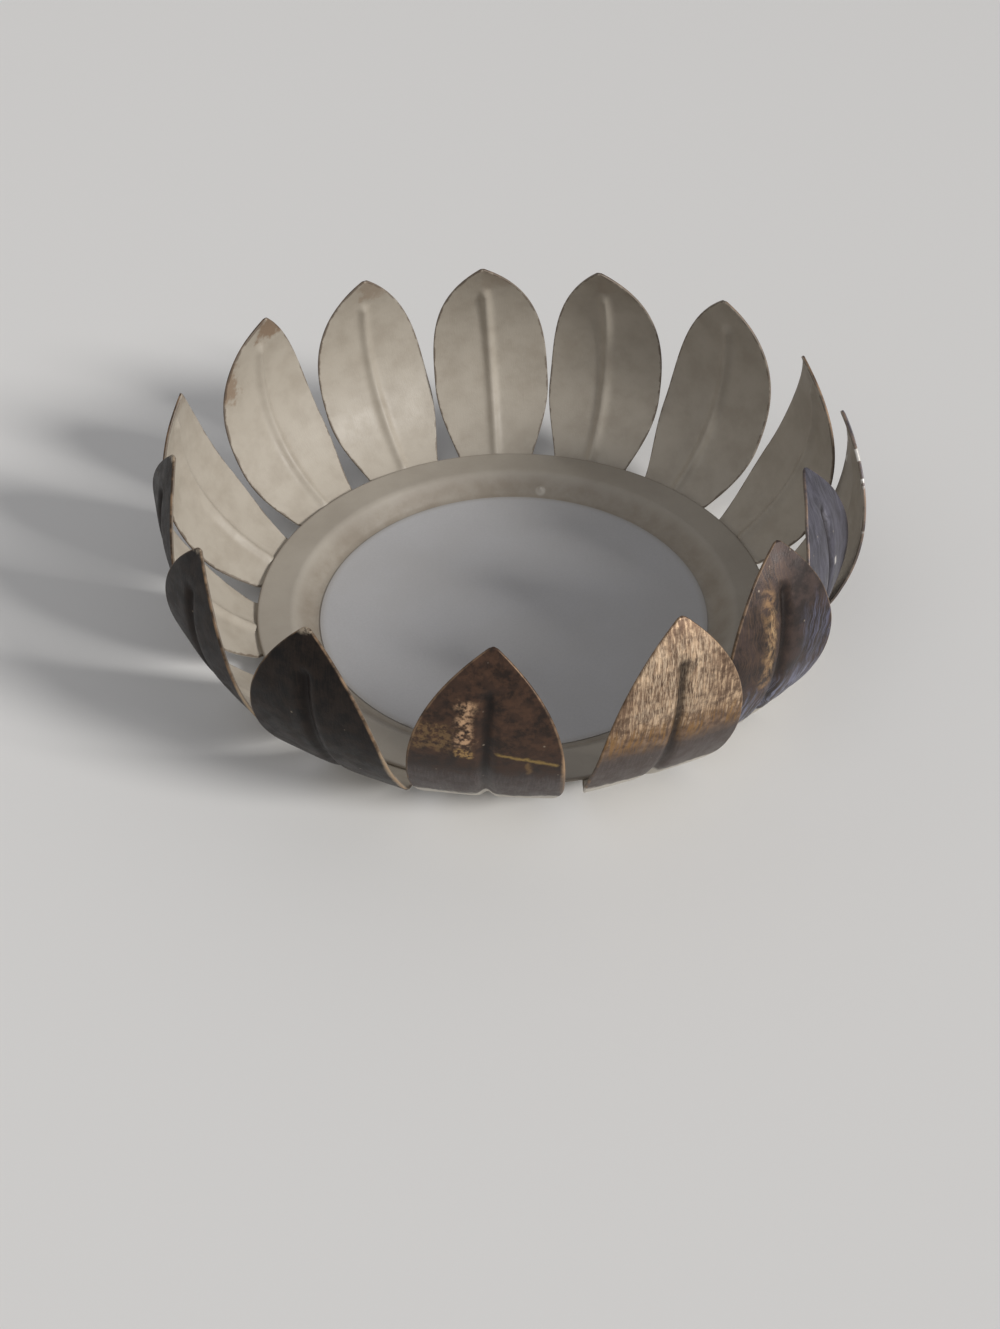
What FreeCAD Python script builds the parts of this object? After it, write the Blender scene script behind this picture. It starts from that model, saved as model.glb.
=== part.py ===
import FreeCAD, Part

import math
import os

import Sketcher

# A petal cup for a pillar candle: a round pan with a shallow well, ringed by stamped leaves.
# Millimetres, +Z up, +Y towards the back. The origin is the centre of the pan's underside.

# Driving sizes in millimetres and degrees, with one count.
SIZES = {
    # Pan: a spun disc with a round well, a sloping shoulder and a flat rim.
    "well_floor_radius": 39.0,
    "shoulder_run": 4.0,
    "rim_width": 7.0,
    "well_depth": 3.6,
    "pan_sheet": 0.8,
    "pan_bend_radius": 2.0,
    # Label: a round of paper glued to the flat floor of the well.
    "label_clearance": 0.13,
    "label_sheet": 0.2,
    # Petal: one stamped leaf, the same blank for all. The two gaps are the daylight between
    # neighbours, at the root and where the blades are widest, if all stood evenly.
    "petal_count": 15,
    "first_petal_angle": 94.0,
    "petal_sheet": 0.6,
    "petal_length": 46.7,
    "petal_gap": 0.92,
    "root_gap": 4.98,
    "tip_width": 0.8,
    "root_clearance": 0.3,
    "root_bend_angle": 34.0,
    "belly_radius": 30.2,
    "cup_depth": 0.7,
    "rib_width": 2.8,
    "rib_height": 0.6,
    "tab_end_width": 12.0,
    # Weld: a fillet of solder in the corner between a tab's end and the rim.
    "weld_radius": 0.8,
    "weld_margin": 2.0,
    "weld_clearance": 0.73,
}

# How each leaf was set by hand, in whole degrees, clockwise round the cup from the middle of the back:
# turn of the whole leaf round the cup, lean inwards at the root, sway of the tip, twist of the blade.
# Turn, sway and twist are clockwise seen from above.
BENDS = (
    (0, 2, -3, 0),
    (0, 1, -3, 0),
    (0, -4, 0, -3),
    (0, 0, -3, 18),
    (0, 1, -7, 2),
    (-2, 11, -7, 6),
    (-5, 6, -6, 14),
    (-6, 0, -3, -1),
    (-3, -2, -2, -1),
    (-3, -6, 2, -2),
    (-2, -4, 0, 1),
    (0, -1, 2, -12),
    (0, -4, -4, -10),
    (0, -5, 2, -5),
    (0, -4, -1, -4),
)
BEND_NAMES = ("turn", "lean", "sway", "twist")

# Cross-sections along the blade, as shares of its length from the root to the tip.
STATION_SHARES = (0.10, 0.22, 0.36, 0.50, 0.64, 0.76, 0.86, 0.93, 0.98, 1.0)
WIDEST_SHARE = 0.36
# Powers that round the outline: how fast it fills out to the widest place, and how bluntly it closes.
FILLING_POWER = 1.5
CLOSING_POWER = 3
# The pressed rib fades out below the tip: shares of its height and width at those cross-sections.
RIB_HEIGHT_SHARES = (0.6, 1.0, 1.0, 1.0, 1.0, 0.9, 0.1, 0.0, 0.0, 0.0)
RIB_WIDTH_SHARES = (1.0, 1.0, 1.0, 1.0, 1.0, 1.0, 0.8, 0.5, 0.25, 0.1)

PETAL_COUNT = int(SIZES["petal_count"])

# Sizes that follow from the driving ones, in this order. A pitch is one leaf's share of the ring.
DERIVED = (
    ("shoulder_radius", "Sizes.well_floor_radius + Sizes.shoulder_run"),
    ("rim_radius", "Derived.shoulder_radius + Sizes.rim_width"),
    ("bend_run", "Sizes.pan_bend_radius * tan(0.5 * atan(Sizes.well_depth / Sizes.shoulder_run))"),
    ("label_radius", "Sizes.well_floor_radius - Derived.bend_run - Sizes.label_clearance"),
    ("root_radius", "Derived.rim_radius + Sizes.root_clearance"),
    ("root_height", "Sizes.well_depth - 0.5 * Sizes.petal_sheet"),
    ("blade_turn", "Sizes.petal_length / Sizes.belly_radius * 180 / pi"),
    ("widest_slope", "Sizes.root_bend_angle + %s * Derived.blade_turn" % WIDEST_SHARE),
    ("widest_radius", "Derived.root_radius"
     " + Sizes.belly_radius * (sin(Derived.widest_slope) - sin(Sizes.root_bend_angle))"),
    ("root_pitch", "2 * Derived.root_radius * tan(180 / Sizes.petal_count)"),
    ("widest_pitch", "2 * Derived.widest_radius * tan(180 / Sizes.petal_count)"),
    ("root_width", "Derived.root_pitch - Sizes.root_gap"),
    ("petal_width", "Derived.widest_pitch - Sizes.petal_gap"),
    ("tab_end_radius", "Derived.shoulder_radius + Derived.bend_run + Sizes.weld_clearance + Sizes.weld_radius"),
    ("weld_length", "Sizes.tab_end_width - 2 * Sizes.weld_margin"),
)


def petal_name(index):
    return "petal_%02d" % (index + 1)


def bends_of(index):
    """The four hand-set angles of a leaf; further leaves repeat them in order."""
    return dict(zip(BEND_NAMES, BENDS[index % len(BENDS)]))


def make_sheet(doc):
    """Fills the spreadsheet with every driving size under its own name."""
    sheet = doc.addObject("Spreadsheet::Sheet", "Sizes")
    rows = list(SIZES.items())
    for index in range(PETAL_COUNT):
        for name, angle in bends_of(index).items():
            rows.append(("%s_%02d" % (name, index + 1), angle))
    for row, (name, value) in enumerate(rows, start=1):
        sheet.set("A%d" % row, name)
        sheet.set("B%d" % row, str(value))
        sheet.setAlias("B%d" % row, name)
    doc.recompute()
    return sheet


def make_derived(doc):
    """Holds the sizes that follow from the sheet, each bound to it by its expression."""
    derived = doc.addObject("App::VarSet", "Derived")
    for name, expression in DERIVED:
        derived.addProperty("App::PropertyFloat", name)
        derived.setExpression(name, expression)
    doc.recompute()
    return derived


def origin_plane(body, role):
    for feature in body.Origin.OriginFeatures:
        if feature.Role == role:
            return feature
    raise ValueError("no plane " + role)


def new_body(doc, name):
    body = doc.addObject("PartDesign::Body", name)
    body.Label = name
    return body


def new_sketch(body, name, role, offset=None):
    """A sketch on one of the body's own planes, moved by an expression for its offset."""
    sketch = body.newObject("Sketcher::SketchObject", name)
    sketch.AttachmentSupport = [(origin_plane(body, role), "")]
    sketch.MapMode = "FlatFace"
    if offset:
        sketch.setExpression("AttachmentOffset", offset)
    return sketch


def polygon(sketch, points):
    """Closed outline of straight lines through the points; returns the number of its corners."""
    corners = [FreeCAD.Vector(x, y, 0) for x, y in points]
    count = len(corners)
    lines = [Part.LineSegment(corners[i], corners[(i + 1) % count]) for i in range(count)]
    sketch.addGeometry(lines, False)
    sketch.addConstraint([Sketcher.Constraint("Coincident", i, 2, (i + 1) % count, 1) for i in range(count)])
    return count


def value(item, expression):
    """The number that an expression over the sheet comes to."""
    return float(item.evalExpression(expression))


def drive(sketch, name, expression, *reference):
    """Adds one dimension with a name and binds it to the sheet."""
    index = sketch.addConstraint(Sketcher.Constraint(*reference, value(sketch, expression)))
    sketch.renameConstraint(index, name)
    sketch.setExpression("Constraints." + name, expression)


def make_pan(doc):
    """Spun pan: its half outline is revolved about the upright axis, then the two bends are rounded."""
    body = new_body(doc, "pan")
    sketch = new_sketch(body, "pan_outline", "XZ_Plane")
    floor = SIZES["well_floor_radius"]
    depth = SIZES["well_depth"]
    sheet = SIZES["pan_sheet"]
    shoulder = value(sketch, "Derived.shoulder_radius")
    rim = value(sketch, "Derived.rim_radius")
    polygon(sketch, [
        (0, 0),
        (floor, 0),
        (shoulder, depth),
        (rim, depth),
        (rim, depth + sheet),
        (shoulder, depth + sheet),
        (floor, sheet),
        (0, sheet),
    ])
    sketch.addConstraint([
        Sketcher.Constraint("Coincident", 0, 1, -1, 1),
        Sketcher.Constraint("Horizontal", 0),
        Sketcher.Constraint("Horizontal", 2),
        Sketcher.Constraint("Vertical", 3),
        Sketcher.Constraint("Horizontal", 4),
        Sketcher.Constraint("Parallel", 1, 5),
        Sketcher.Constraint("Horizontal", 6),
        Sketcher.Constraint("Vertical", 7),
    ])
    drive(sketch, "rim_radius", "Derived.rim_radius", "DistanceX", -1, 1, 3, 1)
    drive(sketch, "floor_sheet", "Sizes.pan_sheet", "DistanceY", -1, 1, 7, 1)
    drive(sketch, "rim_sheet", "Sizes.pan_sheet", "DistanceY", 3, 1, 3, 2)
    drive(sketch, "well_depth", "Sizes.well_depth", "DistanceY", 6, 1, 5, 1)
    drive(sketch, "floor_radius", "Sizes.well_floor_radius", "DistanceX", -1, 1, 6, 1)
    drive(sketch, "shoulder_run", "Sizes.shoulder_run", "DistanceX", 6, 1, 5, 1)
    drive(sketch, "shoulder_sheet", "Sizes.pan_sheet", "Distance", 1, 1, 5)

    spin = body.newObject("PartDesign::Revolution", "pan_spin")
    spin.Profile = (sketch, [""])
    spin.ReferenceAxis = (sketch, ["V_Axis"])
    spin.Angle = 360
    doc.recompute()

    bends = body.newObject("PartDesign::Fillet", "pan_bends")
    names = []
    for number, edge in enumerate(spin.Shape.Edges, start=1):
        is_circle = isinstance(edge.Curve, Part.Circle)
        if is_circle and edge.Curve.Radius < rim - sheet:
            names.append("Edge%d" % number)
    bends.Base = (spin, names)
    bends.setExpression("Radius", "Sizes.pan_bend_radius")
    return body


def make_label(doc):
    """Round of paper lying on the floor of the well, just inside the rounded bend."""
    body = new_body(doc, "label")
    floor = "placement(vector(0; 0; Sizes.pan_sheet); rotation(0; 0; 0))"
    sketch = new_sketch(body, "label_outline", "XY_Plane", floor)
    radius = value(sketch, "Derived.label_radius")
    sketch.addGeometry(Part.Circle(FreeCAD.Vector(), FreeCAD.Vector(0, 0, 1), radius), False)
    sketch.addConstraint(Sketcher.Constraint("Coincident", 0, 3, -1, 1))
    drive(sketch, "label_radius", "Derived.label_radius", "Radius", 0)
    pad = body.newObject("PartDesign::Pad", "label_sheet")
    pad.Profile = (sketch, [""])
    pad.setExpression("Length", "Sizes.label_sheet")
    return body


def width_shares(share):
    """How far the blade has grown from root width to full width, and how much of that is left."""
    grown = math.sin(math.pi / 2 * min(share / WIDEST_SHARE, 1.0)) ** FILLING_POWER
    beyond = max(share - WIDEST_SHARE, 0.0) / (1.0 - WIDEST_SHARE)
    return grown, 1.0 - beyond ** CLOSING_POWER


def half_width(share):
    """Expression for half the blade's width at a share of its length."""
    grown, left = width_shares(share)
    full = "(Derived.root_width + (Derived.petal_width - Derived.root_width) * %.4f)" % grown
    return "0.5 * (Sizes.tip_width + (%s - Sizes.tip_width) * %.4f)" % (full, left)


def section(body, name, offset, width, sheet, cup, rib, rib_width):
    """One cross-section of a leaf: a shallow V with a raised rib inside and its groove outside.

    The sketch's X runs across the leaf and its Y towards the candle. The sizes are expressions:
    half the width, the sheet, the lift of the edges, the rib's height and half its width.
    """
    sketch = new_sketch(body, name, "YZ_Plane", offset)
    sizes = (width, sheet, cup, rib, rib_width)
    half, thick, lift, crest, shoulder = [value(sketch, size) for size in sizes]
    inner = thick / 2
    corners = polygon(sketch, [
        (-half, inner + lift),
        (-shoulder, inner),
        (0, inner + crest),
        (shoulder, inner),
        (half, inner + lift),
        (half, inner + lift - thick),
        (shoulder, inner - thick),
        (0, inner + crest - thick),
        (-shoulder, inner - thick),
        (-half, inner + lift - thick),
    ])
    # Two upright helper lines carry the sheet's thickness to the rib.
    shoulder_line = Part.LineSegment(FreeCAD.Vector(shoulder, inner - thick, 0), FreeCAD.Vector(shoulder, inner, 0))
    crest_line = Part.LineSegment(FreeCAD.Vector(0, inner + crest - thick, 0), FreeCAD.Vector(0, inner + crest, 0))
    sketch.addGeometry([shoulder_line, crest_line], True)
    sketch.addConstraint([
        Sketcher.Constraint("Symmetric", 0, 1, 4, 1, -2),
        Sketcher.Constraint("Symmetric", 1, 1, 3, 1, -2),
        Sketcher.Constraint("Symmetric", 3, 1, 6, 1, -1),
        Sketcher.Constraint("Symmetric", 9, 1, 5, 1, -2),
        Sketcher.Constraint("Symmetric", 8, 1, 6, 1, -2),
        Sketcher.Constraint("PointOnObject", 2, 1, -2),
        Sketcher.Constraint("PointOnObject", 7, 1, -2),
        Sketcher.Constraint("Vertical", 4),
        Sketcher.Constraint("Coincident", corners, 1, 6, 1),
        Sketcher.Constraint("Coincident", corners, 2, 3, 1),
        Sketcher.Constraint("Coincident", corners + 1, 1, 7, 1),
        Sketcher.Constraint("Coincident", corners + 1, 2, 2, 1),
        Sketcher.Constraint("Equal", 4, corners),
        Sketcher.Constraint("Equal", 4, corners + 1),
    ])
    drive(sketch, "sheet", sheet, "DistanceY", 5, 1, 4, 1)
    drive(sketch, "half_width", width, "DistanceX", -1, 1, 4, 1)
    drive(sketch, "edge_height", "0.5 * %s + %s" % (sheet, cup), "DistanceY", -1, 1, 4, 1)
    drive(sketch, "rib_half_width", rib_width, "DistanceX", -1, 1, 3, 1)
    drive(sketch, "crest_height", "0.5 * %s + %s" % (sheet, rib), "DistanceY", -1, 1, 2, 1)
    return sketch


def make_petal(doc, index):
    """Stamped leaf: a flat tab under the rim and a blade lofted through its cross-sections.

    The blade leaves the root at the bend angle and follows one large arc, up and then inwards. Its
    sway and twist grow from nothing at the root to their full angle at the tip.
    """
    name = petal_name(index)
    number = "_%02d" % (index + 1)
    body = new_body(doc, name)

    sheet = "Sizes.petal_sheet"
    start = "(Sizes.root_bend_angle + Sizes.lean%s)" % number
    rib_width = "0.5 * Sizes.rib_width"

    tab_end = section(
        body, name + "_tab_end",
        "placement(vector(0; Derived.root_height; Derived.tab_end_radius); rotation(0; 0; 0))",
        "0.5 * Sizes.tab_end_width", sheet, "0", "0", rib_width)
    root = section(
        body, name + "_root",
        "placement(vector(0; Derived.root_height; Derived.root_radius);"
        " rotation(vector(1; 0; 0); -0.5 * %s))" % start,
        half_width(0.0), "%s / cos(0.5 * %s)" % (sheet, start), "0", "0", rib_width)

    stations = []
    for place, share in enumerate(STATION_SHARES):
        slope = "(%s + %s * Derived.blade_turn)" % (start, share)
        rise = "Sizes.belly_radius * (cos(%s) - cos(%s))" % (start, slope)
        reach = "Sizes.belly_radius * (sin(%s) - sin(%s))" % (slope, start)
        offset = " * ".join((
            "placement(vector(0; Derived.root_height; Derived.root_radius);"
            " rotation(vector(0; 0; 1); Sizes.sway%s * %s))" % (number, share),
            "placement(vector(0; 0; 0); rotation(vector(0; 1; 0); -Sizes.twist%s * %s))" % (number, share),
            "placement(vector(0; %s; %s); rotation(vector(1; 0; 0); -%s))" % (rise, reach, slope),
        ))
        half = half_width(share)
        width_share = 2 * value(body, half) / value(body, "Derived.petal_width")
        cup_share = width_share ** 2 * min(share / WIDEST_SHARE, 1.0)
        stations.append(section(
            body, "%s_station_%02d" % (name, place + 1), offset, half, sheet,
            "Sizes.cup_depth * %.4f" % cup_share,
            "Sizes.rib_height * %s" % RIB_HEIGHT_SHARES[place],
            "%s * %s" % (rib_width, RIB_WIDTH_SHARES[place])))

    tab = body.newObject("PartDesign::AdditiveLoft", name + "_tab")
    tab.Profile = (tab_end, [""])
    tab.Sections = [(root, [""])]
    tab.Ruled = True
    blade = body.newObject("PartDesign::AdditiveLoft", name + "_blade")
    blade.Profile = (root, [""])
    blade.Sections = [(station, [""]) for station in stations]
    body.setExpression(
        "Placement",
        "placement(vector(0; 0; 0); rotation(vector(0; 0; 1); "
        "Sizes.first_petal_angle - %d * 360 / Sizes.petal_count - Sizes.turn%s))" % (index, number))
    return body


def make_welds(doc):
    """Quarter-round fillets of solder, each in the corner between a tab's inner end and the rim."""
    beads = []
    for index in range(PETAL_COUNT):
        number = "_%02d" % (index + 1)
        bead = doc.addObject("Part::Cylinder", "weld" + number)
        bead.Angle = 90
        bead.setExpression("Radius", "Sizes.weld_radius")
        bead.setExpression("Height", "Derived.weld_length")
        bead.setExpression(
            "Placement",
            "placement(vector(0; 0; 0); rotation(vector(0; 0; 1); "
            "Sizes.first_petal_angle - %d * 360 / Sizes.petal_count - Sizes.turn%s))"
            " * placement(vector(Derived.tab_end_radius; -0.5 * Derived.weld_length; Sizes.well_depth);"
            " rotation(vector(1; 0; 0); -90))"
            " * placement(vector(0; 0; 0); rotation(vector(0; 0; 1); 90))" % (index, number))
        beads.append(bead)
    welds = doc.addObject("Part::Compound", "tab_welds")
    welds.Label = "tab_welds"
    welds.Links = beads
    return welds


def check(doc, nodes):
    """Stops the run if any object failed or any sub-part is empty or broken."""
    for item in doc.Objects:
        if "Invalid" in item.State or "Error" in item.State:
            raise RuntimeError("%s: %s" % (item.Label, item.State))
    for node in nodes:
        if node.Shape.isNull() or not node.Shape.isValid():
            raise RuntimeError("bad shape: " + node.Label)


def main():
    doc = FreeCAD.newDocument("candle_ring")
    make_sheet(doc)
    make_derived(doc)
    nodes = [make_pan(doc), make_label(doc)]
    nodes += [make_petal(doc, index) for index in range(PETAL_COUNT)]
    nodes.append(make_welds(doc))
    doc.recompute()
    check(doc, nodes)
    os.makedirs("parts", exist_ok=True)
    for node in nodes:
        node.Shape.exportStep("parts/%s.step" % node.Label)
        box = node.Shape.BoundBox
        print("%-10s solids %2d volume %8.1f z %6.2f to %6.2f"
              % (node.Label, len(node.Shape.Solids), node.Shape.Volume, box.ZMin, box.ZMax))


main()
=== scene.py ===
# %% [markdown]
# # A petal cup for a pillar candle
# The cup is a spun pan with fifteen stamped leaves soldered under its rim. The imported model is
# loaded first and stays as it is. Every piece made here stands exactly where its solid stands.

# %% The frame
import math

import bpy
import numpy as np
from mathutils import Matrix, Vector


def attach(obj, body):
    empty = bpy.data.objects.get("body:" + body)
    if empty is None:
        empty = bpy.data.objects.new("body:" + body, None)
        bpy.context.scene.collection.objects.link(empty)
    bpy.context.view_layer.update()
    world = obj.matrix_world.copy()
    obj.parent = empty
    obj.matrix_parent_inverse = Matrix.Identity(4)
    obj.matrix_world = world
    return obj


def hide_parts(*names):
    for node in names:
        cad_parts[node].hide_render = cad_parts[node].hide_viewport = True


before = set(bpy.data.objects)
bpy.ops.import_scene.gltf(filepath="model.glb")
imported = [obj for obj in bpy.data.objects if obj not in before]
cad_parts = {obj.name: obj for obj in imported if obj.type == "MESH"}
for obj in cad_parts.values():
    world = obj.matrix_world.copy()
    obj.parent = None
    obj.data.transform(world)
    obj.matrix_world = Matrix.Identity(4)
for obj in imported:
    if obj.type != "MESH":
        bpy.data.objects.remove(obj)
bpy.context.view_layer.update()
MM = 0.001

# %% [markdown]
# ## The camera
# The photograph was taken from in front and well above. Its lens and place were worked out from
# the round rim and the tips of the leaves, so the same view can be set here in plain numbers.

# %% Camera
CAMERA_PLACE = (-2.74, -212.23, 178.56)
CAMERA_TARGET_STEP = (0.0, 0.7410, -0.6715)
CAMERA_ROLL_DEGREES = -0.1643
LENS_MM = 37.92
SENSOR_MM = 36.0

camera_data = bpy.data.cameras.new("photo_camera")
camera_data.sensor_fit = "AUTO"
camera_data.sensor_width = SENSOR_MM
camera_data.lens = LENS_MM
camera_data.clip_start = 0.01
camera = bpy.data.objects.new("photo_camera", camera_data)
bpy.context.scene.collection.objects.link(camera)
camera.location = Vector(CAMERA_PLACE) * MM
looking = Vector(CAMERA_TARGET_STEP).to_track_quat("-Z", "Y").to_matrix()
camera.rotation_euler = (looking @ Matrix.Rotation(math.radians(CAMERA_ROLL_DEGREES), 3, "Z")).to_euler()
bpy.context.scene.camera = camera
print("camera at", [round(v, 3) for v in camera.location])

# %% [markdown]
# ## Node helpers
# Materials are networks of nodes. Short helpers keep each network readable: they add a node with
# its settings, wire two sockets, make or place a group, mix colours and do sums.


# %% Node helpers
def add_node(tree, kind, **settings):
    """One node of the named kind. Settings name its properties, or its inputs with a value each."""
    node = tree.nodes.new(kind)
    for name, value in settings.items():
        if name == "inputs":
            for socket, number in value.items():
                node.inputs[socket].default_value = number
        else:
            setattr(node, name, value)
    return node


def wire(tree, source, target):
    """Joins an output to an input."""
    tree.links.new(source, target)


def feed(tree, item, target):
    """Gives an input its value: a socket is wired to it, and a plain value is set on it."""
    if isinstance(item, bpy.types.NodeSocket):
        wire(tree, item, target)
    else:
        target.default_value = item


def new_group(name, inputs, outputs):
    """An empty shader node group. An input is (name, socket type, default), an output has no
    default."""
    group = bpy.data.node_groups.new(name, "ShaderNodeTree")
    for label, kind, value in inputs:
        socket = group.interface.new_socket(label, in_out="INPUT", socket_type=kind)
        if value is not None:
            socket.default_value = value
    for label, kind in outputs:
        group.interface.new_socket(label, in_out="OUTPUT", socket_type=kind)
    return group, group.nodes.new("NodeGroupInput"), group.nodes.new("NodeGroupOutput")


def effect(tree, group, place, **values):
    """Puts a group into a material at a place and gives back its one output."""
    node = tree.nodes.new("ShaderNodeGroup")
    node.node_tree = group
    wire(tree, place, node.inputs["Place"])
    for name, value in values.items():
        node.inputs[name].default_value = value
    return node.outputs[0]


def mix_colours(tree, factor, first, second):
    """A colour mix. Each of the three may be a socket or a plain value."""
    node = tree.nodes.new("ShaderNodeMix")
    node.data_type = "RGBA"
    for socket, item in ((node.inputs["Factor"], factor), (node.inputs[6], first), (node.inputs[7], second)):
        feed(tree, item, socket)
    return node.outputs[2]


def work_out(tree, operation, first, second=0.0, third=0.0, clamp=False):
    """One math node. Each number may be a socket or a plain value."""
    node = tree.nodes.new("ShaderNodeMath")
    node.operation = operation
    node.use_clamp = clamp
    for socket, item in zip(node.inputs, (first, second, third)):
        feed(tree, item, socket)
    return node.outputs[0]


def work_out_vector(tree, operation, first, second=(0.0, 0.0, 0.0)):
    """One vector math node. Lengths and distances come out as a number, all else as a vector."""
    node = add_node(tree, "ShaderNodeVectorMath", operation=operation)
    feed(tree, first, node.inputs[0])
    feed(tree, second, node.inputs[1])
    return node.outputs["Value" if operation in ("LENGTH", "DISTANCE") else "Vector"]


def product(tree, first, *others):
    """The product of two or more sockets or plain values."""
    for other in others:
        first = work_out(tree, "MULTIPLY", first, other)
    return first


def fade(tree, source, start, end, low=0.0, high=1.0):
    """Carries a value smoothly from low at start to high at end."""
    node = tree.nodes.new("ShaderNodeMapRange")
    node.interpolation_type = "SMOOTHSTEP"
    wire(tree, source, node.inputs["Value"])
    for name, number in (("From Min", start), ("From Max", end), ("To Min", low), ("To Max", high)):
        node.inputs[name].default_value = number
    return node.outputs["Result"]


def colour(red, green, blue):
    """A colour given as it shows on a screen, 0 to 255, as the linear values that a render works with."""
    shown = np.array([red, green, blue]) / 255
    linear = np.where(shown <= 0.04045, shown / 12.92, ((shown + 0.055) / 1.055) ** 2.4)
    return (*map(float, linear), 1.0)


# %% [markdown]
# ## Shared effects
# Several finishes need the same effects, so each is a group: cloudy patches from noise, fine
# brush marks that run along a leaf, soft ragged places, and specks where something splashed.

# %% Shared effects
def make_clouds():
    """Soft patches: one noise of a given size, cut softly between a low and a high level."""
    group, entry, leave = new_group(
        "cloudy_patches",
        [("Place", "NodeSocketVector", None), ("Size", "NodeSocketFloat", 100.0),
         ("Detail", "NodeSocketFloat", 4.0), ("Roughness", "NodeSocketFloat", 0.55),
         ("Low", "NodeSocketFloat", 0.4), ("High", "NodeSocketFloat", 0.6)],
        [("Patches", "NodeSocketFloat")])
    noise = add_node(group, "ShaderNodeTexNoise")
    for name, socket in (("Place", "Vector"), ("Size", "Scale"), ("Detail", "Detail"),
                         ("Roughness", "Roughness")):
        wire(group, entry.outputs[name], noise.inputs[socket])
    level = add_node(group, "ShaderNodeMapRange", interpolation_type="SMOOTHSTEP")
    wire(group, noise.outputs["Fac"], level.inputs["Value"])
    wire(group, entry.outputs["Low"], level.inputs["From Min"])
    wire(group, entry.outputs["High"], level.inputs["From Max"])
    wire(group, level.outputs["Result"], leave.inputs["Patches"])
    return group


def make_brushing():
    """Brush marks: noise squeezed across the stroke and drawn out along it, in two widths. A slow
    noise moves the strokes sideways first, so that they can run in waves."""
    group, entry, leave = new_group(
        "brush_marks",
        [("Place", "NodeSocketVector", None), ("Fineness", "NodeSocketFloat", 1.0),
         ("Waviness", "NodeSocketFloat", 0.0)],
        [("Marks", "NodeSocketFloat")])
    slow = work_out_vector(group, "MULTIPLY", entry.outputs["Place"], (0.10, 0.16, 1.0))
    drift = add_node(group, "ShaderNodeTexNoise", inputs={"Scale": 1.0, "Detail": 2.0})
    wire(group, slow, drift.inputs["Vector"])
    step = product(group, work_out(group, "SUBTRACT", drift.outputs["Fac"], 0.5),
                   entry.outputs["Waviness"])
    aside = add_node(group, "ShaderNodeCombineXYZ")
    wire(group, step, aside.inputs["X"])
    moved = work_out_vector(group, "ADD", entry.outputs["Place"], aside.outputs[0])
    total = None
    for across, along, share in ((2.4, 0.22, 0.6), (7.0, 0.6, 0.4)):
        stretched = work_out_vector(group, "MULTIPLY", moved, (across, along, 1.0))
        noise = add_node(group, "ShaderNodeTexNoise", inputs={"Detail": 3.0, "Roughness": 0.6})
        wire(group, stretched, noise.inputs["Vector"])
        wire(group, entry.outputs["Fineness"], noise.inputs["Scale"])
        part = product(group, noise.outputs["Fac"], share)
        total = part if total is None else work_out(group, "ADD", total, part)
    wire(group, total, leave.inputs["Marks"])
    return group


def make_window():
    """A soft place on a leaf: full between a left, right, foot and head line given in
    millimetres, fading over a softness, with the lines made ragged by noise. The tilt slants the
    foot and head lines."""
    group, entry, leave = new_group(
        "soft_window",
        [("Place", "NodeSocketVector", None), ("Left", "NodeSocketFloat", -20.0),
         ("Right", "NodeSocketFloat", 20.0), ("Foot", "NodeSocketFloat", -5.0),
         ("Head", "NodeSocketFloat", 60.0), ("Softness", "NodeSocketFloat", 2.0),
         ("Raggedness", "NodeSocketFloat", 2.0), ("Tilt", "NodeSocketFloat", 0.0)],
        [("Mask", "NodeSocketFloat")])
    noise = add_node(group, "ShaderNodeTexNoise", inputs={"Scale": 0.5, "Detail": 5.0, "Roughness": 0.62})
    wire(group, entry.outputs["Place"], noise.inputs["Vector"])
    wobble = add_node(group, "ShaderNodeSeparateColor")
    wire(group, noise.outputs["Color"], wobble.inputs[0])
    place = add_node(group, "ShaderNodeSeparateXYZ")
    wire(group, entry.outputs["Place"], place.inputs[0])
    mask = None
    for channel, axis, low, high in ((0, 0, "Left", "Right"), (1, 1, "Foot", "Head")):
        ragged = product(group, work_out(group, "SUBTRACT", wobble.outputs[channel], 0.5),
                         entry.outputs["Raggedness"])
        here = work_out(group, "ADD", place.outputs[axis], ragged)
        if axis == 1:
            here = work_out(group, "MULTIPLY_ADD", place.outputs[0], entry.outputs["Tilt"], here)
        for depth in (work_out(group, "SUBTRACT", here, entry.outputs[low]),
                      work_out(group, "SUBTRACT", entry.outputs[high], here)):
            level = add_node(group, "ShaderNodeMapRange", interpolation_type="SMOOTHSTEP")
            wire(group, depth, level.inputs["Value"])
            level.inputs["From Min"].default_value = 0.0
            wire(group, entry.outputs["Softness"], level.inputs["From Max"])
            result = level.outputs["Result"]
            mask = result if mask is None else product(group, mask, result)
    wire(group, mask, leave.inputs["Mask"])
    return group


SPECK_SHARPNESS = 14.0


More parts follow.
